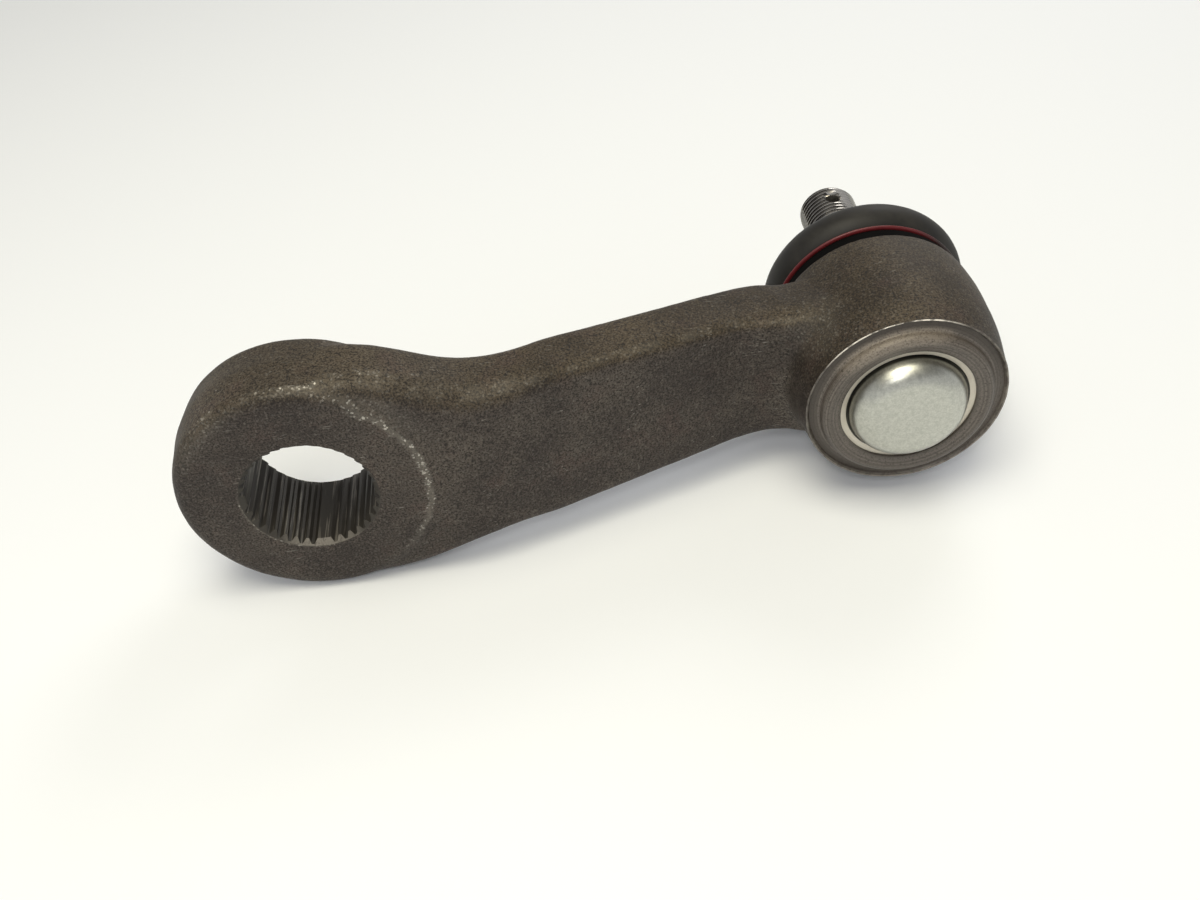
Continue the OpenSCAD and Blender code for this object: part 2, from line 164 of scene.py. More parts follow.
def add(kind, inputs, **settings):
    """Add a shader node, set its properties and wire its inputs, from a dictionary or in their order."""
    inputs = inputs if isinstance(inputs, dict) else dict(enumerate(inputs))
    tree = next(value.id_data for value in inputs.values() if isinstance(value, bpy.types.NodeSocket))
    node = tree.nodes.new("ShaderNode" + kind)
    for key, value in settings.items():
        setattr(node, key, value)
    wire(node, inputs)
    return node


def math_node(operation, *values, clamp=False):
    """The result of one Math node."""
    return add("Math", values, operation=operation, use_clamp=clamp).outputs[0]


def chain(operation):
    """A helper that joins two or more values by one kind of Math node."""
    def joined(result, *others):
        for value in others:
            result = math_node(operation, result, value)
        return result
    return joined


plus, minus, times, most = map(chain, ("ADD", "SUBTRACT", "MULTIPLY", "MAXIMUM"))


def flip(mask):
    """1 where a mask is 0, and 0 where it is 1."""
    return minus(1.0, mask)


# %% [markdown]
# A mask is a value between 0 and 1 that says where something shows. Steps and bands cut masks out of heights,
# distances and noise, and Mix lays one colour over another where a mask is 1.

# %% Masks, colours and bumps
def steps(value, low, high):
    """0 below low, 1 above high, and a smooth step between."""
    node = add("MapRange", {"Value": value, "From Min": low, "From Max": high},
               interpolation_type="SMOOTHSTEP")
    return node.outputs["Result"]


def band(value, start, full, fall, end):
    """0 up to start, 1 from full to fall, and 0 again from end on."""
    return times(steps(value, start, full), flip(steps(value, fall, end)))


def mix(factor, a, b):
    """Mix two colours, given as sockets or as red, green and blue."""
    a, b = ((*colour, 1) if isinstance(colour, tuple) else colour for colour in (a, b))
    return add("Mix", {0: factor, 6: a, 7: b}, data_type="RGBA").outputs[2]


def noise(at, scale, detail=4.0, roughness=0.6):
    """Fractal noise, from 0 to 1, with so many blobs to the metre."""
    node = add("TexNoise", {"Vector": at, "Scale": scale, "Detail": detail, "Roughness": roughness})
    return node.outputs["Fac"]


def bump(strength, depth, height):
    """A shading normal that shows a height, with its depth in millimetres."""
    node = add("Bump", {"Strength": strength, "Distance": depth * MM, "Height": height})
    return node.outputs["Normal"]


def in_mm(at):
    """A point in millimetres, and its X, Y and Z."""
    scaled = add("VectorMath", {"Vector": at, "Scale": 1 / MM}, operation="SCALE").outputs["Vector"]
    return scaled, add("SeparateXYZ", [scaled]).outputs


# %% [markdown]
# A finish starts from Blender's Principled shader. An effect that several finishes share is a node group, which
# gives out only values.

# %% Finishes and groups
def new_finish(name):
    """A material with its Principled shader and Object coordinates."""
    finish = bpy.data.materials.new(name)
    finish.use_nodes = True
    nodes = finish.node_tree.nodes
    return finish, nodes["Principled BSDF"], nodes.new("ShaderNodeTexCoord").outputs["Object"]


def normal_parts(at):
    """The X, Y and Z of the surface's direction on the object."""
    return add("SeparateXYZ", [at.node.outputs["Normal"]]).outputs


def new_group(name, inputs, outputs):
    """A node group with the given float or vector sockets, its inputs and its output node."""
    group = bpy.data.node_groups.new(name, "ShaderNodeTree")
    for label, kind in inputs.items():
        group.interface.new_socket(label, in_out="INPUT", socket_type="NodeSocket" + kind)
    for label in outputs:
        group.interface.new_socket(label, in_out="OUTPUT", socket_type="NodeSocketFloat")
    return group, group.nodes.new("NodeGroupInput").outputs, group.nodes.new("NodeGroupOutput")


def use_group(group, **inputs):
    """Place a node group and wire it."""
    named = {key.replace("_", " "): value for key, value in inputs.items()}
    return add("Group", named, node_tree=group).outputs


# %% [markdown]
# Three effects serve several finishes. Blasted grain is the sandpaper look of a forging that was cleaned with
# steel shot: slow stains, patches of rust, small pits and single bright grains.

# %% Blasted grain
grain, grain_in, grain_end = new_group("blasted_grain", {"At": "Vector"}, ["Stain", "Rust", "Pits", "Sparks"])
spark_cells = add("TexVoronoi", {"Vector": grain_in["At"], "Scale": 2200.0}, feature="F1")
spark_pick = add("SeparateColor", [spark_cells.outputs["Color"]]).outputs[0]
wire(grain_end, {
    "Stain": noise(grain_in["At"], 45.0, 3.0),
    "Rust": steps(noise(grain_in["At"], 95.0, 4.0), 0.5, 0.72),
    "Pits": noise(grain_in["At"], 2100.0, 3.0, 0.7),
    "Sparks": steps(spark_pick, 0.80, 0.98)})
print("blasted grain gives", [socket.name for socket in grain_end.inputs if socket.name])

# %% [markdown]
# Handling leaves short scratches. A noise that is stretched a lot along one direction gives streaks, and
# keeping only its highest values leaves thin separate marks. Three directions are laid over each other.

# %% Scratches
scratches, scratch_in, scratch_end = new_group("handling_scratches", {"At": "Vector"}, ["Marks"])
streaks = []
for turn, shift in ((0.6, 0.0), (-0.9, 0.3), (1.5, 0.7)):
    laid = add("Mapping", {"Vector": scratch_in["At"], "Location": (shift, shift, shift),
                           "Rotation": (0.2, turn, 0.0), "Scale": (0.07, 1.0, 1.0)})
    streaks.append(steps(noise(laid.outputs["Vector"], 2600.0, 1.0), 0.70, 0.76))
patchy = steps(noise(scratch_in["At"], 110.0, 2.0), 0.52, 0.68)
wire(scratch_end, {"Marks": times(most(*streaks), patchy)})
print("scratches in", len(streaks), "directions")

# %% [markdown]
# Lathe lines are the fine rings that a turning tool leaves. They depend only on the distance from the axis and
# the height along it, so a noise in one dimension is enough. The group also gives out the radius in mm.

# %% Lathe lines
lathe_lines, lathe_in, lathe_end = new_group(
    "lathe_lines", {"At": "Vector", "Axis X": "Float", "Lines": "Float"}, ["Radius", "Line"])
place = add("SeparateXYZ", [lathe_in["At"]]).outputs
off_x = minus(place["X"], lathe_in["Axis X"])
squares = plus(times(off_x, off_x), times(place["Z"], place["Z"]))
radius = math_node("SQRT", squares)
along = times(plus(radius, place["Y"]), lathe_in["Lines"])
ring_noise = add("TexNoise", {"W": along}, noise_dimensions="1D")
wire(lathe_end, {"Radius": times(radius, 1 / MM), "Line": ring_noise.outputs["Fac"]})
print("lathe lines give", [socket.name for socket in lathe_end.inputs if socket.name])

# %% [markdown]
# ### The forging's skin
# The skin is dark brown-grey scale. Handling polishes the rounded edges first, so bright grains show where the
# surface turns from the front face to the top or bottom. These same bands also carry a painted highlight, where
# the light catches the rounding. The object-space normal tells where that is: on a flat face only one of its
# parts is large, on a rounded edge two. The crest above the eye, and its brow towards the web, are rubbed most
# and get the strongest painted highlight. All places are in millimetres.

# %% Rubbed edges and painted highlights
crest_x = (-30, -4, 6, 13)
brow_x = (7, 13, 24, 36)
brow_strength = 0.8


def edge_wear_and_highlight(place, normal):
    """Masks for every rounded edge, and for the crest above the eye with its brow: wear and painted highlight
    together.
    """
    facing = times(normal["Y"], -1.0)
    upright = steps(math_node("ABSOLUTE", normal["Z"]), 0.4, 0.75)
    # These bands are picked by the way the surface faces, so they are painted highlight as well as wear.
    edge = times(band(facing, 0.10, 0.42, 0.58, 0.92), upright)
    # The crest and the brow are narrow bands of facing that carry a painted highlight.
    crest = times(band(facing, 0.20, 0.31, 0.36, 0.50), upright, band(place["X"], *crest_x))
    brow = times(band(facing, 0.03, 0.09, 0.15, 0.28), upright, band(place["X"], *brow_x))
    return edge, most(crest, times(brow, brow_strength))


# %% [markdown]
# A worn arc runs round the eye's face on the side of the web. It is a thin band of the distance from the bore's
# axis that wanders a little and lifts towards the crest. A pale painted sheen lies beside it, and a second
# patch of painted sheen lies on the barrel, where the web runs into the housing. The bore's rim gets a painted
# highlight at its lower left.

# %% Wear, painted sheen and painted highlight round the eye and on the barrel
eye_rub_r = 27.9
arc_wander = 2.6
arc_lift = 3.2
arc_band = (-1.5, -0.2, 0.2, 1.3)
sheen_band = (-2, 1, 2, 8)
front_face_y = (-10.2, -8.8)
bore_rim_r = 16.3
barrel_sheen = Vector((123, 10, 16))
barrel_sheen_size = (7, 15)


def eye_wear_and_sheen(at, at_mm, place):
    """Masks for the worn arc round the eye's face, for the painted sheen beside it and on the barrel, and for
    the painted highlight on the bore's rim.
    """
    squares = plus(times(place["X"], place["X"]), times(place["Z"], place["Z"]))
    eye_d = math_node("SQRT", squares)
    front = flip(steps(place["Y"], *front_face_y))
    wander = times(minus(noise(at, 260.0, 3.0), 0.5), arc_wander)
    lift = times(steps(place["Z"], 22, 31), arc_lift)
    off_arc = minus(plus(eye_d, wander), plus(eye_rub_r, lift))
    arm_side = times(steps(place["X"], -2, 24), band(place["Z"], -24, -8, 29, 34))
    worn_arc = times(band(off_arc, *arc_band), front, arm_side)

    # Painted sheen beside the arc, on its upper part only.
    beside = times(band(off_arc, *sheen_band), front, steps(place["Z"], 8, 22))
    # A patch of painted sheen on the barrel.
    spot = add("VectorMath", [at_mm, barrel_sheen], operation="DISTANCE").outputs["Value"]
    spot = plus(spot, times(noise(at, 220.0, 4.0), 8))
    painted_sheen = most(beside, flip(steps(spot, *barrel_sheen_size)))

    # A painted highlight on the bore's rim, at its lower left.
    off_rim = math_node("ABSOLUTE", minus(eye_d, bore_rim_r))
    low_left = flip(steps(plus(place["X"], place["Z"]), -20, -8))
    rim = times(flip(steps(off_rim, 0.1, 0.4)), front, low_left)
    return worn_arc, painted_sheen, rim


# %% [markdown]
# The skin's colour is built up in layers. There is grey scale on the front, and an olive tint on top, which is
# painted warm light. A paler painted light lies on the eye's crown. Then come rust, pits and grains, and last
# the rubbed places and painted highlights with their sparks of bare metal.

# %% Forged skin
def forged_skin():
    finish, shader, at = new_finish("forged_skin")
    at_mm, place = in_mm(at)
    normal = normal_parts(at)
    skin = use_group(grain, At=at)
    marks = use_group(scratches, At=at)["Marks"]
    edge, crest = edge_wear_and_highlight(place, normal)
    worn_arc, painted_sheen, rim = eye_wear_and_sheen(at, at_mm, place)
    patch = steps(noise(at, 170.0, 4.0), 0.36, 0.62)
    soft = most(times(edge, patch, 0.30), times(painted_sheen, 0.24))
    strong = most(times(crest, patch), times(worn_arc, 0.7), times(rim, 0.45))
    speckle = plus(times(strong, 0.9), times(soft, 0.3), 0.05)
    spark = math_node("MULTIPLY", skin["Sparks"], speckle, clamp=True)
    spark = most(spark, times(marks, 0.30))

    stain = steps(skin["Stain"], 0.30, 0.70)
    grey = mix(stain, (0.040, 0.031, 0.027), (0.086, 0.071, 0.058))
    top_lit_olive = mix(stain, (0.036, 0.0265, 0.0165), (0.082, 0.062, 0.038))
    # The eye's crown is paler where it faces up: painted light.
    lit_crown = times(steps(normal["Z"], 0.45, 0.85), flip(steps(place["X"], 15, 70)), 0.25)
    top_lit_olive = mix(lit_crown, top_lit_olive, (0.160, 0.134, 0.100))
    # Faces that point up turn olive: painted warm light from above.
    scale = mix(steps(normal["Z"], 0.1, 0.7), grey, top_lit_olive)
    rusty = mix(times(skin["Rust"], 0.5), scale, (0.074, 0.047, 0.039))
    pitted = mix(steps(skin["Pits"], 0.38, 0.56), (0.014, 0.011, 0.009), rusty)
    grains = times(steps(skin["Pits"], 0.56, 0.72), 0.55)
    grainy = mix(grains, pitted, (0.150, 0.132, 0.108))
    # Rubbed places, painted highlights and painted sheen are lightened together here.
    lightened = mix(times(most(soft, strong), 0.5), grainy, (0.21, 0.195, 0.165))
    wire(shader, {
        "Base Color": mix(spark, lightened, (0.58, 0.55, 0.49)),
        "Specular IOR Level": 0.32,
        "Roughness": minus(0.60, times(spark, 0.25)),
        "Metallic": plus(0.2, times(spark, 0.5)),
        "Normal": bump(0.45, 0.1, minus(skin["Pits"], times(marks, 0.3)))})
    return finish


forging_finish = forged_skin()
print("forged skin has", len(forging_finish.node_tree.nodes), "nodes")

# %% [markdown]
# ### Machined steel
# The shoulder and the rolled collar were turned after forging and then greyed with the rest. They are smoother
# than the skin and show concentric lines. The fillet between them gets a painted highlight at the upper left,
# the outer shoulder is darker except at the lower right, and a thin burr carries a painted glint along its
# upper edge.

# %% Turned shoulder
housing_r = 24.33
burr_h = 0.35
burr_foot_r = housing_r - 2.6 * burr_h
burr_full_r = housing_r - 1.4 * burr_h
fillet_band = (17.6, 19.2, 21.4, 22.4)
dark_outer_r = (21.3, 22.4)


def turned_shoulder():
    finish, shader, at = new_finish("turned_shoulder")
    place = in_mm(at)[1]
    skin = use_group(grain, At=at)
    fine = use_group(lathe_lines, At=at, Axis_X=ball.x * MM, Lines=1500.0)
    broad = use_group(lathe_lines, At=at, Axis_X=ball.x * MM, Lines=420.0)["Line"]
    off_x = minus(place["X"], ball.x)
    high_left = minus(times(place["Z"], 0.97), times(off_x, 0.26))
    low_right = steps(minus(off_x, place["Z"]), 6, 26)

    rings = plus(times(fine["Line"], 0.5), times(steps(broad, 0.35, 0.65), 0.5))
    tone = mix(rings, (0.052, 0.044, 0.037), (0.195, 0.170, 0.146))
    # A painted highlight on the fillet at the upper left.
    lit = times(steps(high_left, 14.5, 18.5), band(fine["Radius"], *fillet_band), 0.5)
    with_fillet_highlight = mix(lit, tone, (0.36, 0.31, 0.25))
    # The outer shoulder is darker, except at the lower right.
    dark_outer = times(steps(fine["Radius"], *dark_outer_r), flip(low_right), 0.72)
    darkened_outer = mix(dark_outer, with_fillet_highlight, (0.034, 0.027, 0.021))
    stained = mix(times(skin["Stain"], 0.4), darkened_outer, (0.070, 0.057, 0.047))
    pitted = mix(steps(skin["Pits"], 0.24, 0.56), (0.040, 0.033, 0.027), stained)
    # The burr's brightness is a painted glint, strongest at the upper left.
    burr_glint = times(steps(fine["Radius"], burr_foot_r, burr_full_r),
                 plus(0.12, times(steps(high_left, 17, 22), 0.88)),
                 steps(noise(at, 520.0, 3.0), 0.32, 0.60))
    wire(shader, {
        "Base Color": mix(burr_glint, pitted, (0.90, 0.84, 0.74)),
        "Metallic": plus(0.2, times(burr_glint, 0.4)),
        "Roughness": plus(0.36, times(skin["Pits"], 0.2)),
        "Normal": bump(0.35, 0.08, plus(fine["Line"], times(skin["Pits"], 0.4)))})
    return finish


turned_finish = turned_shoulder()
print("burr from radius", round(burr_foot_r, 2), "to", housing_r, "mm")

# %% [markdown]
# The bore was broached, so its streaks run along the axis. Its steel is dark with oxide and darker still with
# painted shade. The chamfer leaves small pale tooth ends, and painted light makes them lighter only where they
# face up.

# %% Broached bore and tooth ends
def broached_steel(name, dark, light, low, high, upward=0.0):
    """Oxidised steel darkened with painted shade, with streaks along the bore; if upward is 1, painted light
    makes it lighter where it faces up.
    """
    finish, shader, at = new_finish(name)
    skin = use_group(grain, At=at)
    squeeze = add("Mapping", {"Vector": at, "Scale": (1.0, 0.04, 1.0)}).outputs["Vector"]
    streak = noise(squeeze, 1500.0, 2.0)
    # Lighter only where the surface faces up: painted light.
    lightened = most(steps(normal_parts(at)["Z"], 0.50, 0.70), 1.0 - upward)
    tone = mix(times(steps(streak, low, high), lightened), dark, light)
    wire(shader, {
        "Base Color": mix(times(skin["Pits"], 0.6), tone, dark),
        "Metallic": 0.2, "Roughness": 0.55, "Normal": bump(0.3, 0.06, streak)})
    return finish


# The bore's dark tone is oxide with painted shade on it.
bore_finish = broached_steel("broached_steel", (0.030, 0.026, 0.020), (0.17, 0.155, 0.13), 0.56, 0.68)
tooth_finish = broached_steel("tooth_ends", (0.040, 0.035, 0.028), (0.21, 0.190, 0.160), 0.2, 0.5, upward=1.0)

# %% [markdown]
# ### Plate, rubber and the rest
# The cap is zinc plate: a bright metal with a pale, slightly green bloom. Its flange, under the rolled lip,
# keeps a cream protective film, which reads as a narrow light ring.

# %% Zinc plate and cream flange
zinc_shade_y = (-3.1, -2.4)


def zinc_plate():
    finish, shader, at = new_finish("zinc_plate")
    skin = use_group(grain, At=at)
    marks = use_group(scratches, At=at)["Marks"]
    bloom = noise(at, 800.0, 6.0, 0.7)
    mottle = times(plus(bloom, skin["Pits"]), 0.5)
    tone = mix(steps(mottle, 0.36, 0.64), (0.41, 0.415, 0.375), (0.55, 0.555, 0.505))
    scuffed = mix(times(marks, 0.4), tone, (0.34, 0.34, 0.29))
    # Painted shade: a dark band at the dome's foot, with the painted dark reflection of the lip.
    painted_shade = steps(in_mm(at)[1]["Y"], *zinc_shade_y)
    wire(shader, {
        "Base Color": mix(painted_shade, scuffed, (0.06, 0.058, 0.052)),
        "Metallic": 1.0,
        "Roughness": plus(0.27, times(bloom, 0.16)),
        "Normal": bump(0.1, 0.05, skin["Pits"])})
    return finish


def plain_finish(name, scale, dark, light, metallic, roughness):
    """Two tones of one colour in soft blobs."""
    finish, shader, at = new_finish(name)
    tone = mix(noise(at, scale), dark, light)
    wire(shader, {"Base Color": tone, "Metallic": metallic, "Roughness": roughness})
    return finish


zinc_finish = zinc_plate()
flange_finish = plain_finish("cream_film", 300.0, (0.52, 0.475, 0.39), (0.69, 0.65, 0.56), 0.3, 0.4)

# %% [markdown]
# Boot rubber is nearly black with a satin bloom and a very fine mould texture. Its collar lies in the shade of
# the bulge, and that shade is painted in: the collar is darker and duller. The ring is deep red, with painted
# shade towards its right end, where the bulge hides it.

# %% Rubber and red ring
collar_shade_y = (36.6, 37.4)
ring_shade_x = (ball.x + 13, ball.x + 21)


def boot_rubber():
    finish, shader, at = new_finish("boot_rubber")
    skin = use_group(grain, At=at)
    dust = steps(noise(at, 180.0, 4.0), 0.35, 0.75)
    # Painted shade: the collar under the bulge is darker, duller and less shiny.
    shade = flip(steps(in_mm(at)[1]["Y"], *collar_shade_y))
    bulge = mix(dust, (0.011, 0.010, 0.009), (0.024, 0.022, 0.019))
    wire(shader, {
        "Base Color": mix(shade, bulge, (0.003, 0.003, 0.003)),
        "Roughness": plus(0.52, times(dust, 0.15), times(shade, 0.3)),
        "Specular IOR Level": minus(0.35, times(shade, 0.3)),
        "Normal": bump(0.12, 0.05, skin["Pits"])})
    return finish


def red_enamel():
    finish, shader, at = new_finish("red_enamel")
    tone = mix(noise(at, 200.0), (0.085, 0.008, 0.010), (0.16, 0.018, 0.022))
    across = plus(in_mm(at)[1]["X"], times(noise(at, 90.0), 6))
    # Painted shade towards the ring's right end, where the bulge hides it.
    painted_shade = steps(across, *ring_shade_x)
    wire(shader, {"Base Color": mix(painted_shade, tone, (0.022, 0.010, 0.009)), "Roughness": 0.4})
    return finish


rubber_finish = boot_rubber()
red_finish = red_enamel()

# %% [markdown]
# The stud is bright turned steel, darker away from a patchy strip that faces the front, where it keeps its full
# brightness. The same recipe, duller, serves for the drilled hole, the disc spring and the wire ring. The seats
# are plain polymer.

# %% Bright steel and polymer
strip_x = (-6, -2, 1, 4)
side_share = 0.4


def bright_steel(name, tone, lines_per_metre, roughness):
    """Turned steel about the stud's axis."""
    finish, shader, at = new_finish(name)
    lines = use_group(lathe_lines, At=at, Axis_X=ball.x * MM, Lines=lines_per_metre)
    smear = noise(at, 220.0, 4.0)
    side_tone = tuple(side_share * c for c in tone)
    off_x = minus(in_mm(at)[1]["X"], ball.x)
    # Full brightness only along a patchy strip; elsewhere the steel is darker.
    middle_strip = times(band(off_x, *strip_x), steps(smear, 0.2, 0.6))
    wire(shader, {
        "Base Color": mix(middle_strip, side_tone, tone),
        "Metallic": 1.0,
        "Roughness": plus(roughness, times(smear, 0.12)),
        "Normal": bump(0.15, 0.03, lines["Line"])})
    return finish


stud_finish = bright_steel("stud_steel", (0.80, 0.77, 0.72), 3000.0, 0.08)
drilled_finish = bright_steel("drilled_steel", (0.50, 0.48, 0.45), 1500.0, 0.35)
spring_finish = bright_steel("spring_steel", (0.60, 0.60, 0.62), 1500.0, 0.35)
polymer_finish = plain_finish("moulded_polymer", 150.0, (0.70, 0.67, 0.58), (0.80, 0.78, 0.70), 0.0, 0.5)
print("finishes:", [m.name for m in bpy.data.materials if m.use_nodes])

# %% [markdown]
# ## Modelling tools
# Most of this part is round, so the main tool is a lathe: a single vertex is extruded from point to point to
# draw half a section, and Spin turns it about the axis. Points are pairs of radius and height along the axis,
# in millimetres. The forging is different, and has its own steps further down.

# %% Lathe
def fresh():
    """Back to object mode with nothing selected, so the next operator touches only the new piece."""
    if bpy.context.object and bpy.context.object.mode != "OBJECT":
        bpy.ops.object.mode_set(mode="OBJECT")
    bpy.ops.object.select_all(action="DESELECT")


def pick(obj):
    """Make one object the only selected and active one."""
    fresh()
    obj.select_set(True)
    bpy.context.view_layer.objects.active = obj


def edit_all():
    """Edit mode with everything selected."""
    bpy.ops.object.mode_set(mode="EDIT")
    bpy.ops.mesh.select_all(action="SELECT")


def arc(x, y, r, start, end, count=8):
    """Points on an arc, by angles in degrees."""
    angles = [math.radians(start + (end - start) * i / count) for i in range(count + 1)]
    return [(x + r * math.cos(a), y + r * math.sin(a)) for a in angles]


def draw_line(name, points):
    """Extrude one vertex through a row of points, and stay in edit mode."""
    fresh()
    bpy.ops.mesh.primitive_plane_add(size=MM)
    obj = bpy.context.object
    obj.name = name
    edit_all()
    bpy.ops.mesh.merge(type="CENTER")
    bpy.ops.transform.translate(value=points[0])
    for a, b in zip(points, points[1:]):
        bpy.ops.mesh.extrude_vertices_move(TRANSFORM_OT_translate={"value": b - a})
    return obj


weld = 0.002 * MM


def close_up():
    """Merge a spun mesh's seam and poles and turn its faces outwards."""
    edit_all()
    bpy.ops.mesh.remove_doubles(threshold=weld)
    bpy.ops.mesh.normals_make_consistent(inside=False)
    bpy.ops.object.mode_set(mode="OBJECT")


def lathe(name, profile, axis_x=ball.x, turns=144):
    """Spin a profile of (radius, y) points about an axis along Y."""
    points = [Vector((axis_x + r, y, 0)) * MM for r, y in profile]
    obj = draw_line(name, points)
    edit_all()
    bpy.ops.mesh.spin(steps=turns, angle=math.tau, center=(axis_x * MM, 0, 0), axis=(0, 1, 0))
    close_up()
    return obj


def ring_of(name, profile, **where):
    """A lathe piece whose profile is a closed loop away from the axis."""
    return lathe(name, profile + profile[:1], **where)


# %% [markdown]
# The machine tools work on a finished blank: a modifier that is applied at once, a cut or a joint with another
# solid, and shading that keeps crisp edges crisp.

# %% Modifier helpers
def apply_modifier(obj, kind, **settings):
    """Add a modifier, set it and apply it."""
    pick(obj)
    modifier = obj.modifiers.new(kind.title(), kind)
    for key, value in settings.items():
        setattr(modifier, key, value)
    bpy.ops.object.modifier_apply(modifier=modifier.name)


def machine(obj, tool, finish=None, operation="DIFFERENCE"):
    """Cut a piece with a tool, or add it, and throw the tool away. Cut faces take the tool's finish."""
    if finish:
        tool.data.materials.append(finish)
    apply_modifier(obj, "BOOLEAN", object=tool, operation=operation, solver="EXACT", material_mode="TRANSFER")
    bpy.data.objects.remove(tool)


def smooth(obj, degrees=35):
    """Smooth shading with sharp edges kept."""
    pick(obj)
    bpy.ops.object.shade_smooth_by_angle(angle=math.radians(degrees))


def count(obj):
    """Print how many triangles a piece has."""
    obj.data.calc_loop_triangles()
    print(obj.name, "has", len(obj.data.loop_triangles), "triangles")


# %% [markdown]
# ## The forging
# A hammer squeezes this piece out of one hot bar, so everything on it flows into everything else. It is made
# the same way: three plain blanks, an eye, a web and a housing, are fused by a voxel remesh and then smoothed,
# which gives the soft hollows where they meet. Only after that do cutting tools make the machined faces crisp.

# %% Eye and housing blanks
eye_draft = 0.6
eye_edge_r = 3.6
face_r = eye_r - eye_draft - eye_edge_r
eye_blank = lathe(
    "eye_blank",
    [(0, -eye_half)] + arc(face_r, eye_edge_r - eye_half, eye_edge_r, -90, 0) + [(eye_r, 0)]
    + arc(face_r, eye_half - eye_edge_r, eye_edge_r, 0, 90) + [(0, eye_half)], axis_x=0)
count(eye_blank)

collar_r = 20.83
housing_flare = 1.0
housing_swell = 1.6
housing_edge_r = 1.0
collar_y = -3.78
shoulder_y = -1.08
spigot_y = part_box("arm_forging")[1].y / MM
housing_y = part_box("dust_boot")[0].y / MM
spigot_r = 20.3
blank_y = collar_y - 2
housing_mid = (shoulder_y + housing_y) / 2
housing_half = (housing_y - shoulder_y) / 2
barrel_steps = 8
barrel = [(housing_r + housing_flare * (1 + k) / 2 + housing_swell * (1 - k * k),
           housing_mid + k * housing_half)
          for k in [i / barrel_steps for i in range(-barrel_steps, barrel_steps)]]
housing_end_r = housing_r + housing_flare
housing_blank = lathe(
    "housing_blank",
    [(0, blank_y), (housing_r, blank_y)] + barrel
    + arc(housing_end_r - housing_edge_r, housing_y - housing_edge_r, housing_edge_r, 0, 90, 4)
    + [(spigot_r, housing_y), (spigot_r, spigot_y), (0, spigot_y)])
count(housing_blank)

# %% [markdown]
# The web is one section, a rectangle with round corners, that is pulled along the arm. Three small formulas
# give the section's half width and its front and back levels at each station: it runs in from the eye, is
# narrowest at the neck, bends over to the ball's level and flares out again at the housing.

# %% Sections of the web
front_y0 = 1.0 - eye_half
back_y0 = eye_half - 4.4
back_step = 1.8
back_y1 = housing_y - 2.9
front_y1 = back_y1 - 14.0
web_w_eye = 44.5
web_w_ball = 36.0
ear_share = 0.975
ear_x = eye_r / 4
neck_x = eye_r + 22
neck_in = 1.3
neck_in_x = 38.0
neck_in_run = 22
front_bend_x, front_soft = eye_r + 7, 10
back_bend_x, back_soft = eye_r + 8, 16
root_x, root_soft = ball.x - housing_r, 2
level_x, level_soft = root_x - 8, 8
root_r = 13.0
root_reach = 0.85
root_share = 0.9


def ramp(x, x0, soft):
    """0 before a bend, a straight line after it and a parabola in the bend itself."""
    if x < x0 - soft:
        return 0.0
    return x - x0 if x > x0 + soft else (x - x0 + soft) ** 2 / (4 * soft)


def fade(x, x0, x1):
    """Half a cosine wave that falls from 1 to 0."""
    return 0.5 + 0.5 * math.cos(math.pi * max(0.0, min(1.0, (x - x0) / (x1 - x0))))


def root(x, r):
    """The hollow at the housing, a circular arc of radius r."""
    run = root_reach * r
    d = max(0.0, min(run, x - root_x + run))
    return r - math.sqrt(r * r - d * d)


def web_section(x):
    """Half width, front level and back level of the web at one station."""
    taper = (web_w_ball - web_w_eye) * max(0.0, x - neck_x) / (root_x - neck_x)
    ear = (ear_share * eye_r - web_w_eye / 2) * fade(x, ear_x, neck_x)
    half = (web_w_eye + taper) / 2 + ear + root_share * root(x, root_r)
    half -= neck_in * fade(abs(x - neck_in_x), 0, neck_in_run)
    front_slope = (front_y1 - front_y0) / (root_x - front_bend_x)
    front_run = ramp(x, front_bend_x, front_soft) - ramp(x, root_x, root_soft)
    back_slope = (back_y1 - back_y0) / (level_x - back_bend_x)
    back_run = ramp(x, back_bend_x, back_soft) - ramp(x, level_x, level_soft)
    back = back_y0 + back_step * fade(x, ear_x, back_bend_x)
    return half, front_y0 + front_slope * front_run - root(x, root_r), back + back_slope * back_run


print("web at the neck:", [round(value, 1) for value in web_section(neck_in_x)])

# %% [markdown]
# Each pull is an Extrude followed by a Scale, just as it would be done by hand.

# %% Web blank
edge_r = 4.5
web_start = 2.0
web_end = root_x + 0.6 * housing_r
stations = 44


def pull_section(x0, x1):
    """Extrude the selected end face to the next station and scale it to the section there."""
    half0, front0, back0 = web_section(x0)
    half1, front1, back1 = web_section(x1)
    mid0 = (front0 + back0) / 2
    mid1 = (front1 + back1) / 2
    bpy.ops.mesh.extrude_region_move(
        TRANSFORM_OT_translate={"value": Vector((x1 - x0, mid1 - mid0, 0)) * MM})
    bpy.ops.transform.resize(
        value=(1, (back1 - front1) / (back0 - front0), half1 / half0),
        center_override=Vector((x1, mid1, 0)) * MM)


station_x = [web_start + (web_end - web_start) * i / stations for i in range(stations + 1)]
half, front, back = web_section(web_start)
start_half, start_thick = half, back - front
fresh()
bpy.ops.mesh.primitive_plane_add(size=1, rotation=(0, math.pi / 2, 0))
web_blank = bpy.context.object
web_blank.name = "web_blank"
bpy.ops.object.transform_apply(location=False, rotation=True, scale=False)
edit_all()
bpy.ops.transform.resize(value=(1, (back - front) * MM, 2 * half * MM))
bpy.ops.transform.translate(value=Vector((web_start, (front + back) / 2, 0)) * MM)
bpy.ops.mesh.bevel(offset=edge_r * MM, segments=6, affect="VERTICES")
for x0, x1 in zip(station_x, station_x[1:]):
    pull_section(x0, x1)
close_up()
count(web_blank)

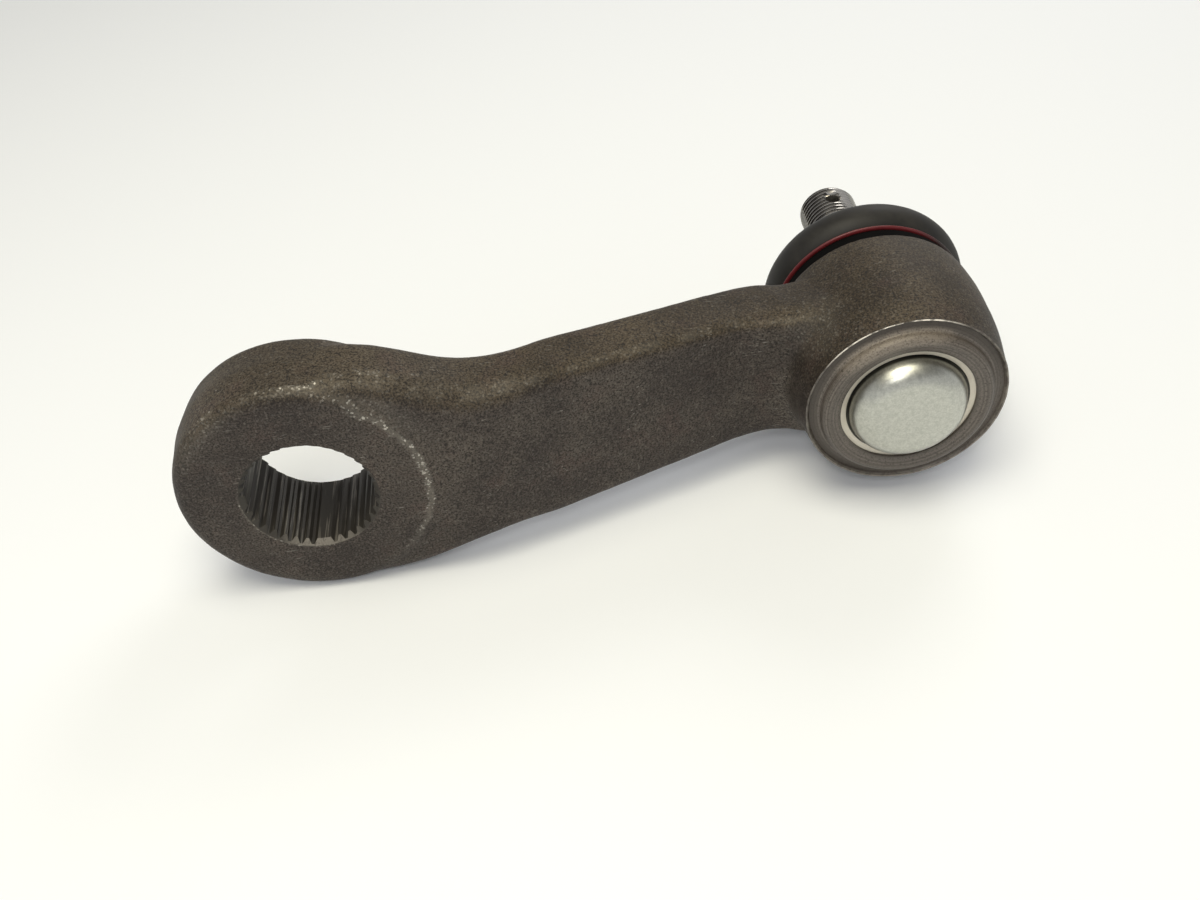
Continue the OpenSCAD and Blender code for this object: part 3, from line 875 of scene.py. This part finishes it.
# %% [markdown]
# Three touches make the plain blank look forged. Near the housing each section is bowed round the barrel, so
# the hollow keeps the same width all round it. The front edge on top is rounder at the neck, where the hammer
# drew the bar out. And at the housing the hollow is wider in front than behind: there the top edge dips, which
# leaves the end of the red ring in sight.

# %% Bow, soften and dip the web
bow_run = 1.2 * root_r
bow_share = 0.9
for v in web_blank.data.vertices:
    x, z = v.co.x / MM, v.co.z / MM
    reach = (1 - fade(x, root_x - bow_run, root_x)) * fade(x, root_x, web_end)
    v.co.x += bow_share * reach * (housing_r - math.sqrt(max(0.0, housing_r ** 2 - z * z))) * MM

corner = 1.02 * edge_r
soften = 0.85
soften_run = 30
for v in web_blank.data.vertices:
    x, y, z = (c / MM for c in v.co)
    half, front, back = web_section(x)
    reach_z = corner * half / start_half
    reach_y = corner * (back - front) / start_thick
    if z > half - reach_z and y < front + reach_y:
        grow = 1 + soften * fade(abs(x - front_bend_x), 0, soften_run)
        v.co.y = (front + grow * (y - front)) * MM
        v.co.z = (half - grow * (half - z)) * MM

wide_root_r = 20.0
back_dip = 0.5
for v in web_blank.data.vertices:
    x, y, z = (c / MM for c in v.co)
    half, front, back = web_section(x)
    off_mid = y - (front + back) / 2
    share = abs(off_mid) / ((back - front) / 2)
    if z > 0 and off_mid < 0:
        v.co.y -= share * (root(x, wide_root_r) - root(x, root_r)) * MM
    elif z > 0:
        v.co.z -= back_dip * share * root(x, root_r) * MM
print("hollow up to", round(root(root_x, wide_root_r), 1), "mm deep in front")

# %% [markdown]
# Joining the blanks and remeshing them with small voxels makes one skin. A first, short smoothing rounds all of
# it. A second, long one works only through a vertex group, on the front hollow between web and barrel, which is
# the widest on the arm. A cloud texture then dents the skin by a fraction of a millimetre.

# %% Fuse the blanks
voxel = 0.75
pick(eye_blank)
web_blank.select_set(True)
housing_blank.select_set(True)
bpy.ops.object.join()
forged_arm = bpy.context.object
forged_arm.name = "forged_arm"
apply_modifier(forged_arm, "REMESH", mode="VOXEL", voxel_size=voxel * MM, adaptivity=0)
apply_modifier(forged_arm, "SMOOTH", factor=0.5, iterations=9)
count(forged_arm)

# %% Widen the front hollow and dent the skin
hollow_rise = (root_x - 14, root_x - 6)
hollow_fall = (ball.x - 14, ball.x - 6)
hollow_front = (shoulder_y + 1.5, shoulder_y + 5)
hollow_back = (housing_y - 9, housing_y - 5)
hollow_half = (13, 19)
hollow = forged_arm.vertex_groups.new(name="hollow")
for v in forged_arm.data.vertices:
    x, y, z = (c / MM for c in v.co)
    in_x = (1 - fade(x, *hollow_rise)) * fade(x, *hollow_fall)
    in_y = (1 - fade(y, *hollow_front)) * fade(y, *hollow_back)
    hollow.add([v.index], in_x * in_y * fade(abs(z), *hollow_half), "REPLACE")
apply_modifier(forged_arm, "SMOOTH", factor=0.5, iterations=70, vertex_group=hollow.name)

dent_size = 11
dent_depth = 0.35
dents = bpy.data.textures.new("hammer_dents", "CLOUDS")
dents.noise_scale = dent_size * MM
apply_modifier(forged_arm, "DISPLACE", texture=dents, texture_coords="LOCAL",
               strength=dent_depth * MM, mid_level=0.5)
forged_arm.data.materials.clear()
forged_arm.data.materials.append(forging_finish)
count(forged_arm)

# %% [markdown]
# ### Machining
# The first tool is the lathe's: it faces the shoulder, leaves the collar that is rolled over the cap, and
# raises a thin burr at the shoulder's edge. The second bores the chamber. Both are lathe pieces used as
# cutters, and the faces they leave take the tool's finish, which is how the machined faces get theirs.

# %% Turn the shoulder
cap_low, cap_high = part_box("end_cap")
flange_r = (cap_high.x - cap_low.x) / 2 / MM
plate_y = cap_high.y / MM
plate_t = 2.0
flange_y = plate_y - plate_t
lip_r = flange_r - 1.7
lip_y = flange_y - 0.8
roll_r = 1.8
fillet_r = 0.8
shoulder_fall = 0.45
clear_y = -16.0
clear_r = housing_r + 4
facing_tool = lathe(
    "facing_tool",
    [(0, clear_y), (0, lip_y), (lip_r, lip_y)]
    + arc(collar_r - roll_r, collar_y + roll_r, roll_r, -110, 0)
    + [(collar_r, shoulder_y - fillet_r)]
    + arc(collar_r + fillet_r, shoulder_y - fillet_r, fillet_r, 180, 100, 5)
    + [(burr_foot_r, shoulder_y + shoulder_fall), (housing_r - burr_h, shoulder_y - burr_h),
       (clear_r, shoulder_y - burr_h), (clear_r, clear_y), (0, clear_y)])
machine(forged_arm, facing_tool, turned_finish)
count(forged_arm)

# %% Bore the chamber
chamber_r = 17.23
throat_r = 13.2
mouth_r = 16.5
throat_y = spigot_y - 7.5
flange_fit_r = flange_r + 0.05
past_spigot_y = spigot_y + 5
boring_tool = lathe(
    "boring_tool",
    [(0, clear_y), (lip_r, clear_y), (lip_r, flange_y), (flange_fit_r, flange_y), (flange_fit_r, plate_y),
     (chamber_r, plate_y), (chamber_r, ball.y + 2), (throat_r, throat_y - 2), (throat_r, throat_y),
     (mouth_r, spigot_y), (mouth_r, past_spigot_y), (0, past_spigot_y)])
machine(forged_arm, boring_tool, turned_finish)
count(forged_arm)

# %% [markdown]
# The bore's serrations are broached: a tool of the shaft's own shape is pulled through. Its outline is a circle
# of many points, and the points of each groove are scaled outwards, least at the groove's mouth and most at its
# bottom. One groove in nine is left out, which makes the four wide master teeth.

# %% Broach the serrations
spline_n = 36
masters = 4
points_per_tooth = 16
half_tooth = points_per_tooth // 2
groove_r = 31.75 / 2
tip_r = groove_r - 1.0
half_groove = 6
flat_half = 2
broach_half = eye_half + 2

fresh()
bpy.ops.mesh.primitive_circle_add(
    vertices=spline_n * points_per_tooth, radius=tip_r * MM, fill_type="NGON",
    location=(0, -broach_half * MM, 0), rotation=(math.pi / 2, 0, 0))
broach = bpy.context.object
broach.name = "broach"
bpy.ops.object.transform_apply(location=True, rotation=True, scale=True)
bpy.ops.object.mode_set(mode="EDIT")
for off in range(half_groove):
    depth = 1.0 if off <= flat_half else (half_groove - off) / (half_groove - flat_half)
    bpy.ops.mesh.select_all(action="DESELECT")
    bpy.ops.object.mode_set(mode="OBJECT")
    for v in broach.data.vertices:
        turn = math.atan2(v.co.z, v.co.x) / math.tau * spline_n * points_per_tooth
        tooth, step = divmod(round(turn) + half_tooth, points_per_tooth)
        v.select = abs(step - half_tooth) == off and tooth % (spline_n // masters) != 0
    bpy.ops.object.mode_set(mode="EDIT")
    size = 1 + depth * (groove_r / tip_r - 1)
    bpy.ops.transform.resize(value=(size, 1, size), center_override=(0, 0, 0))
edit_all()
bpy.ops.mesh.extrude_region_move(TRANSFORM_OT_translate={"value": (0, 2 * broach_half * MM, 0)})
close_up()
machine(forged_arm, broach, bore_finish)
count(forged_arm)

# %% [markdown]
# A chamfer at both ends lets the shaft in. It cuts the teeth's ends off at a slope, and those small slopes are
# the pale marks at the bottom of the bore.

# %% Chamfer the bore
mouth_r_eye = groove_r + 0.25
chamfer_h = mouth_r_eye - tip_r
over = 1
for side in (-1, 1):
    out_y = side * (eye_half + over)
    in_y = side * (eye_half - chamfer_h - over)
    chamfer = lathe(
        "chamfer_tool",
        [(0, out_y), (mouth_r_eye + over, out_y), (tip_r - over, in_y), (0, in_y)], axis_x=0, turns=149)
    machine(forged_arm, chamfer, tooth_finish)
smooth(forged_arm)
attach(forged_arm, "arm")
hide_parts("arm_forging")
count(forged_arm)

# %% [markdown]
# ## The cap
# A press draws this plate into a shallow dome with a rounded shoulder, and the housing's lip is rolled over its
# flange. It is a closed lathe loop: the dome's outside, a small groove at its foot, the flange, and back along
# the inside.

# %% Zinc cap
dome_y = cap_low.y / MM
dome_r = lip_r - 1.5
foot_r = dome_r - 0.4
groove_w = 0.45
groove_d = 0.12
dome_in_r = dome_r - plate_t
round_r = 5.5
round_x = foot_r - groove_w - 0.97 * round_r
in_round = 3.4
zinc_cap = lathe(
    "zinc_cap",
    [(0, dome_y)] + arc(round_x, dome_y + round_r, round_r, -90, -14, 14)
    + [(foot_r, flange_y + groove_d), (foot_r + 0.3, flange_y + groove_d), (foot_r + groove_w, flange_y)]
    + [(flange_r, flange_y), (flange_r, plate_y), (dome_in_r, plate_y)]
    + arc(dome_in_r - in_round, dome_y + plate_t + in_round, in_round, 0, -90)
    + [(0, dome_y + plate_t)], turns=160)
zinc_cap.data.materials.append(zinc_finish)
zinc_cap.data.materials.append(flange_finish)
for face in zinc_cap.data.polygons:
    off = Vector((face.center.x - ball.x * MM, face.center.z)).length / MM
    if off > foot_r + groove_w and face.normal.y < -0.9:
        face.material_index = 1
smooth(zinc_cap, 40)
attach(zinc_cap, "arm")
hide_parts("end_cap")
count(zinc_cap)

# %% [markdown]
# ## Boot and rings
# The boot is a rubber bag with a stiff collar on the housing's spigot, a full round bulge and a thick lip on
# the stud. Its wall is drawn as one closed loop, outside and inside, so that it is a real wall of rubber.

# %% Rubber boot
boot_low, boot_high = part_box("dust_boot")
base_low, base_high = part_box("boot_base_ring")
wire_low, wire_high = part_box("boot_top_ring")
boot_r = (boot_high.x - boot_low.x) / 2 / MM
boot_top = boot_high.y / MM
base_wire = (base_high.y - base_low.y) / MM
base_y = (base_high.y + base_low.y) / 2 / MM
base_r = (base_high.x - base_low.x) / 2 / MM - base_wire / 2
wire_t = (wire_high.y - wire_low.y) / MM
wire_y = (wire_high.y + wire_low.y) / 2 / MM
wire_r = (wire_high.x - wire_low.x) / 2 / MM - wire_t / 2
boot_wall = 1.8
boot_in_r = spigot_r + 0.25
collar_low = housing_y + 0.05
collar_round = 0.4
collar_x = base_r - collar_round
seat_r = base_r - 0.7
lip_in_r = 9.8
lip_out_r = 12.2
lip_round = 0.5
lip_root_y = boot_top - 4.2
lip_under_y = lip_root_y - boot_wall
bulge_r = 5.6
bulge_x = boot_r - bulge_r
bulge_y = base_y + base_wire / 2 + bulge_r
rubber_boot = ring_of(
    "rubber_boot",
    [(boot_in_r, collar_low), (collar_x, collar_low)]
    + arc(collar_x, collar_low + collar_round, collar_round, -90, 0, 4)
    + arc(collar_x, base_y - base_wire / 2 - 0.45, collar_round, 0, 90, 4)
    + [(seat_r, base_y - 0.55), (seat_r, base_y + 0.5)]
    + arc(bulge_x, bulge_y, bulge_r, -68, 95, 23)
    + [(lip_out_r + 3.2, lip_root_y + 0.25), (lip_out_r + 1.0, lip_root_y + 0.2), (lip_out_r, lip_root_y + 0.9)]
    + arc(wire_r, wire_y, wire_t / 2 + 0.05, 240, 120, 6)
    + [(lip_out_r, boot_top - lip_round)]
    + arc(lip_out_r - lip_round, boot_top - lip_round, lip_round, 0, 90, 4)
    + [(lip_in_r + 0.3, boot_top), (lip_in_r, boot_top - 0.3), (lip_in_r, lip_under_y)]
    + arc(bulge_x, bulge_y, bulge_r - boot_wall, 95, -62, 16)
    + [(boot_in_r, spigot_y + 0.5)], turns=176)
rubber_boot.data.materials.append(rubber_finish)
smooth(rubber_boot, 45)
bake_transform(rubber_boot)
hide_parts("dust_boot")
count(rubber_boot)

# %% [markdown]
# A red ring is pressed into the groove over the collar, flattened a little by its fit. A plain wire ring closes
# the lip on the stud. Both are round sections on the lathe.

# %% Red ring and wire ring
ring_squash = 0.55
red_ring = ring_of("red_ring", [(r, base_y + ring_squash * (y - base_y)) for r, y in
                                arc(base_r, base_y, base_wire / 2, 0, 345, 23)], turns=176)
red_ring.data.materials.append(red_finish)
smooth(red_ring, 60)
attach(red_ring, "arm")
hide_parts("boot_base_ring")
count(red_ring)

wire_ring = ring_of("wire_ring", arc(wire_r, wire_y, wire_t / 2, 0, 345, 23), turns=128)
wire_ring.data.materials.append(spring_finish)
smooth(wire_ring, 60)
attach(wire_ring, "boot_lip")
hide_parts("boot_top_ring")
count(wire_ring)

# %% [markdown]
# ## The stud
# The stud is turned from bar: ball, neck, land, taper, a relief groove and the thread's core.

# %% Turn the stud
stud_low, stud_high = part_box("ball_stud")
ball_r = (stud_high.z - stud_low.z) / 2 / MM
stud_end = stud_high.y / MM
neck_r = 8.2
land_r = 9.5
taper_y = boot_top + 0.3
thread_y = taper_y + 16.0
small_r = land_r - 1.0
thread_r = 8.0
core_r = 7.1
relief_r = 6.9
neck_angle = math.degrees(math.acos(neck_r / ball_r))
land_y = boot_top - 7.3
threaded_stud = lathe(
    "threaded_stud",
    [(0, ball.y - ball_r)] + arc(0, ball.y, ball_r, -88, neck_angle, 40)
    + [(neck_r, land_y - 4), (land_r, land_y), (land_r, taper_y), (small_r, thread_y - 0.3),
       (small_r - 0.3, thread_y), (relief_r, thread_y + 0.5), (relief_r, thread_y + 1.6),
       (core_r, thread_y + 2.0), (core_r, stud_end - 0.9), (core_r - 0.7, stud_end), (0, stud_end)], turns=151)
count(threaded_stud)

# %% [markdown]
# The thread is a real helix, because its bright and dark lines are what the eye sees first. Its tooth is a
# small trapezium, and the Screw modifier winds it up the core. The ends of the winding are then filled, so it
# is a closed solid that can be added to the core.

# %% Wind the thread
pitch = 1.5
turns_of_thread = 11
tooth_root = 0.66
tooth_crest = 0.1
tooth_foot_r = core_r - 0.3
tooth_y = thread_y + 2.6
winding = draw_line(
    "winding",
    [Vector((ball.x + r, tooth_y + y, 0)) * MM
     for r, y in ((tooth_foot_r, -tooth_root), (thread_r, -tooth_crest), (thread_r, tooth_crest),
                  (tooth_foot_r, tooth_root), (tooth_foot_r, -tooth_root))])
edit_all()
bpy.ops.mesh.remove_doubles(threshold=weld)
bpy.ops.transform.translate(value=(-ball.x * MM, 0, 0))
bpy.ops.object.mode_set(mode="OBJECT")
apply_modifier(winding, "SCREW", axis="Y", angle=math.tau, screw_offset=pitch * MM, iterations=turns_of_thread,
               steps=64, render_steps=64, use_merge_vertices=False)
pick(winding)
bpy.ops.object.mode_set(mode="EDIT")
bpy.ops.mesh.select_all(action="DESELECT")
bpy.ops.mesh.select_non_manifold()
bpy.ops.mesh.fill_holes(sides=8)
edit_all()
bpy.ops.transform.translate(value=(ball.x * MM, 0, 0))
close_up()
machine(threaded_stud, winding, operation="UNION")
count(threaded_stud)

# %% [markdown]
# The end is chamfered and the cotter hole drilled last. The hole is countersunk on both sides so that the pin
# goes in easily, and its faces get the duller drilled finish.

# %% Chamfer the end and drill the cotter hole
end_tool = ring_of(
    "end_tool", [(thread_r - 1.5, stud_end), (thread_r + 2, stud_end - 3.5), (thread_r + 2, stud_end + 4),
                 (0.5, stud_end + 4), (0.5, stud_end + 0.01)], turns=139)
machine(threaded_stud, end_tool)

cotter_r = 2.0
sink_r = cotter_r + 1.8
sink_h = 2.4
cotter_y = stud_end - 6.4
fresh()
bpy.ops.mesh.primitive_cylinder_add(
    vertices=40, radius=cotter_r * MM, depth=24 * MM, location=(ball.x * MM, cotter_y * MM, 0))
drill = bpy.context.object
bpy.ops.object.transform_apply(location=True)
machine(threaded_stud, drill)
for side in (-1, 1):
    fresh()
    bpy.ops.mesh.primitive_cone_add(
        vertices=37, radius1=(cotter_r - 0.6) * MM, radius2=sink_r * MM, depth=sink_h * MM,
        location=(ball.x * MM, cotter_y * MM, side * (thread_r - 0.2) * MM),
        rotation=(0 if side > 0 else math.pi, 0, 0))
    countersink = bpy.context.object
    bpy.ops.object.transform_apply(location=True, rotation=True)
    machine(threaded_stud, countersink)
threaded_stud.data.materials.clear()
threaded_stud.data.materials.append(stud_finish)
threaded_stud.data.materials.append(drilled_finish)
for face in threaded_stud.data.polygons:
    off = face.center / MM - Vector((ball.x, cotter_y, 0))
    inward = face.normal.x * off.x + face.normal.y * off.y < -0.2
    deep = math.hypot(off.x, off.z) < core_r or abs(face.normal.z) > 0.55
    if inward and deep and math.hypot(off.x, off.y) < sink_r:
        face.material_index = 1
smooth(threaded_stud, 30)
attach(threaded_stud, "stud")
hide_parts("ball_stud")
count(threaded_stud)

# %% [markdown]
# ## Hidden pieces
# The two polymer seats and the disc spring are closed in by the cap and the boot. Their solids are already
# right, so they only get a finish.

# %% Seats and spring
for node, finish in (("upper_seat", polymer_finish), ("pressure_seat", polymer_finish),
                     ("preload_spring", spring_finish)):
    frame["nodes"][node].data.materials.clear()
    frame["nodes"][node].data.materials.append(finish)
    print(node, "is", finish.name)

# %% Back to object mode with nothing selected
fresh()
